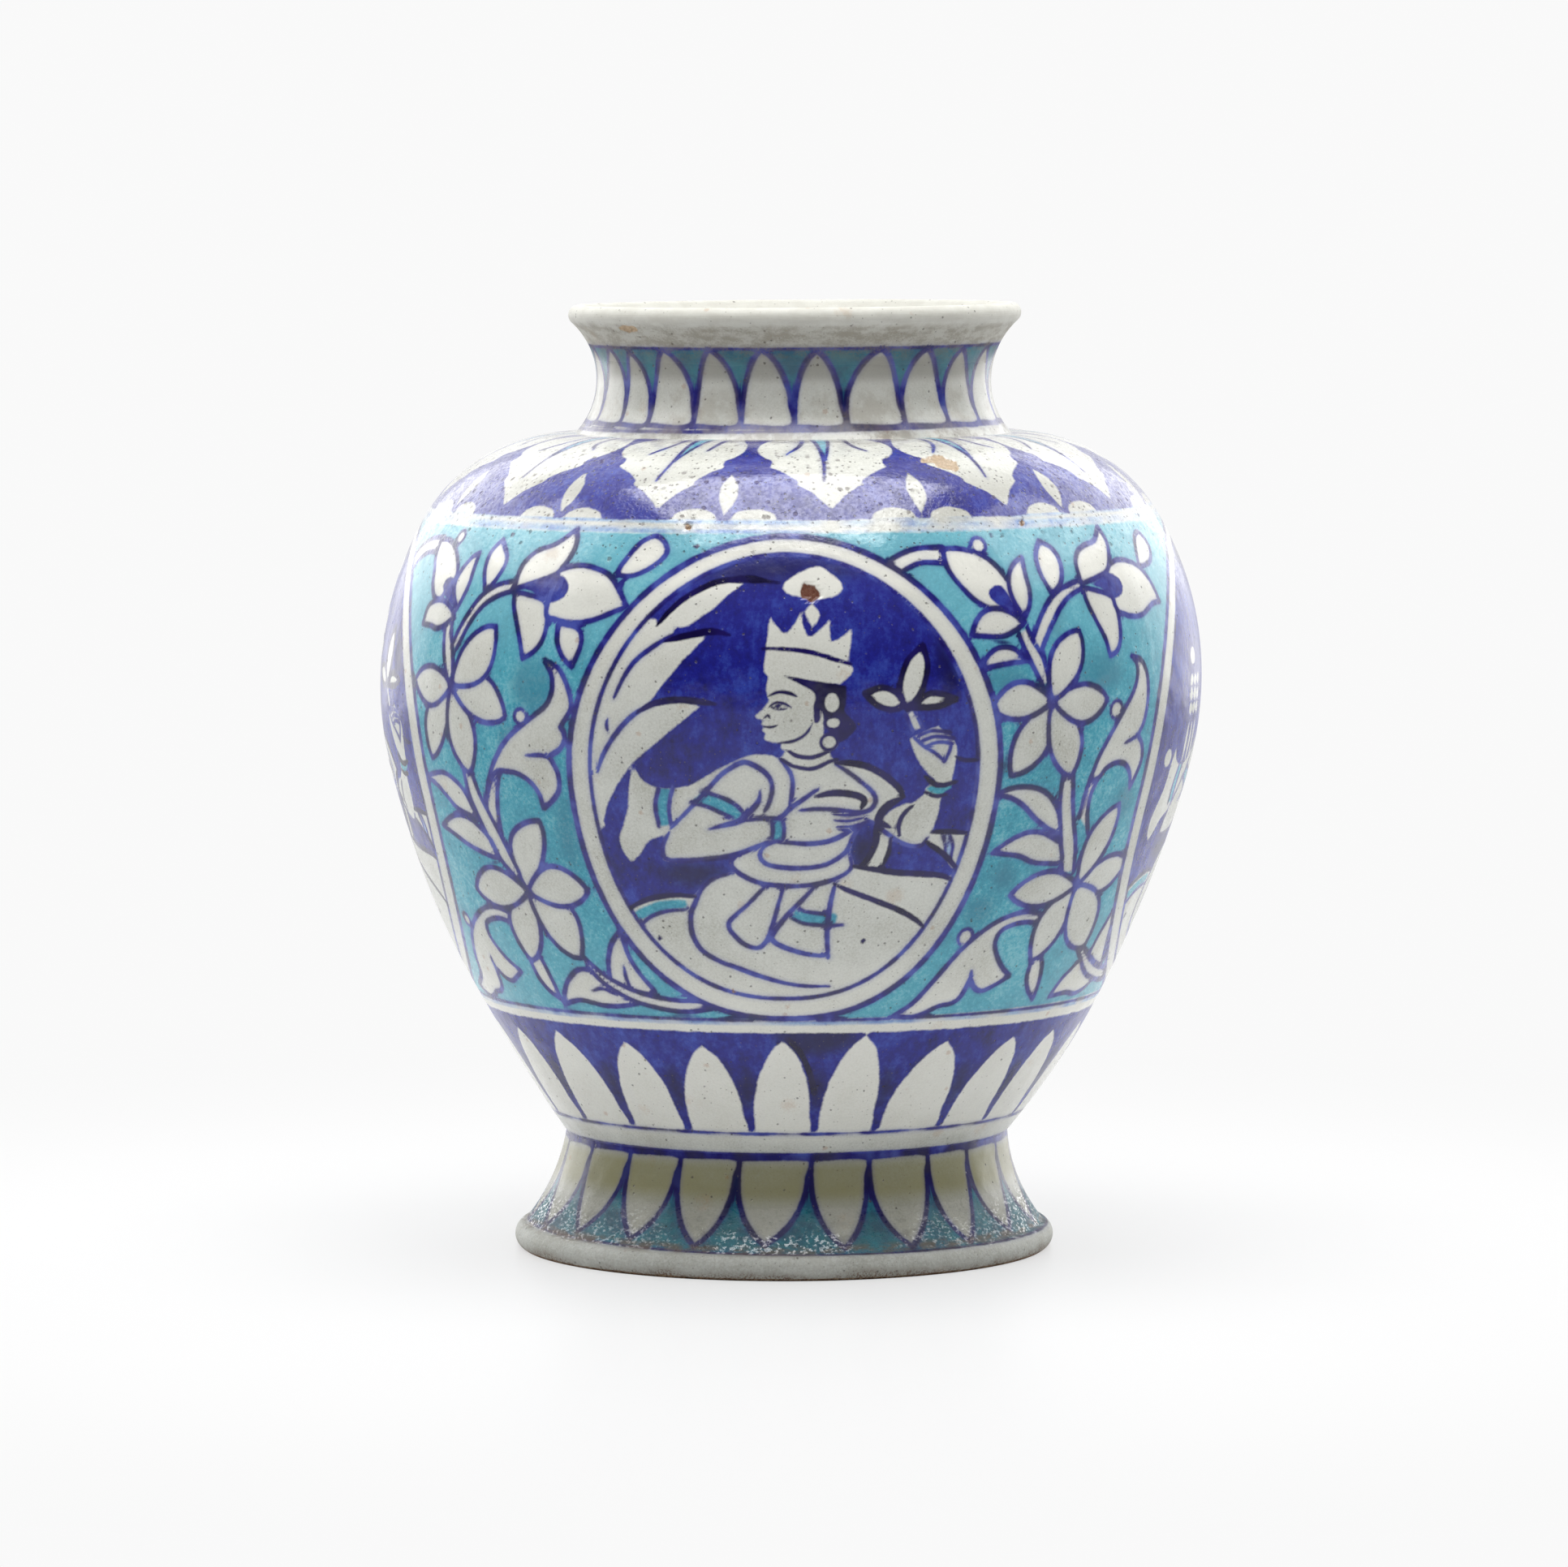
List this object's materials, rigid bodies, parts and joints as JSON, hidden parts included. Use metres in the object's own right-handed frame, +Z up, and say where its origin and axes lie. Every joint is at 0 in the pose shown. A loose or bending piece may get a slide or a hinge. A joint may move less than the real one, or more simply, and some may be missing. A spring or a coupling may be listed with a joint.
{
  "type": "painted faience jar",
  "caption": "Wide-shouldered jar of painted, glazed quartz paste with a short flared neck, an open mouth and a hollow flared foot, for holding or display.",
  "frame": {"origin": "centre of the foot's standing ring, on the surface that the jar stands on", "axes": "+Z up along the axis of the jar; the painted medallion of the picture faces -Y, with +X to its right"},
  "size_m": [0.1914, 0.1914, 0.22],
  "materials": {
    "painted_glaze": "glossy clear glaze over white slip with cobalt and turquoise painting",
    "luting_paste": "matt fired quartz paste"
  },
  "bodies": {
    "root": {"foot": "painted_glaze", "lower_body": "painted_glaze", "upper_body": "painted_glaze", "neck": "painted_glaze", "foot_luting": "luting_paste", "belly_luting": "luting_paste", "neck_luting": "luting_paste"}
  },
  "joints": []
}
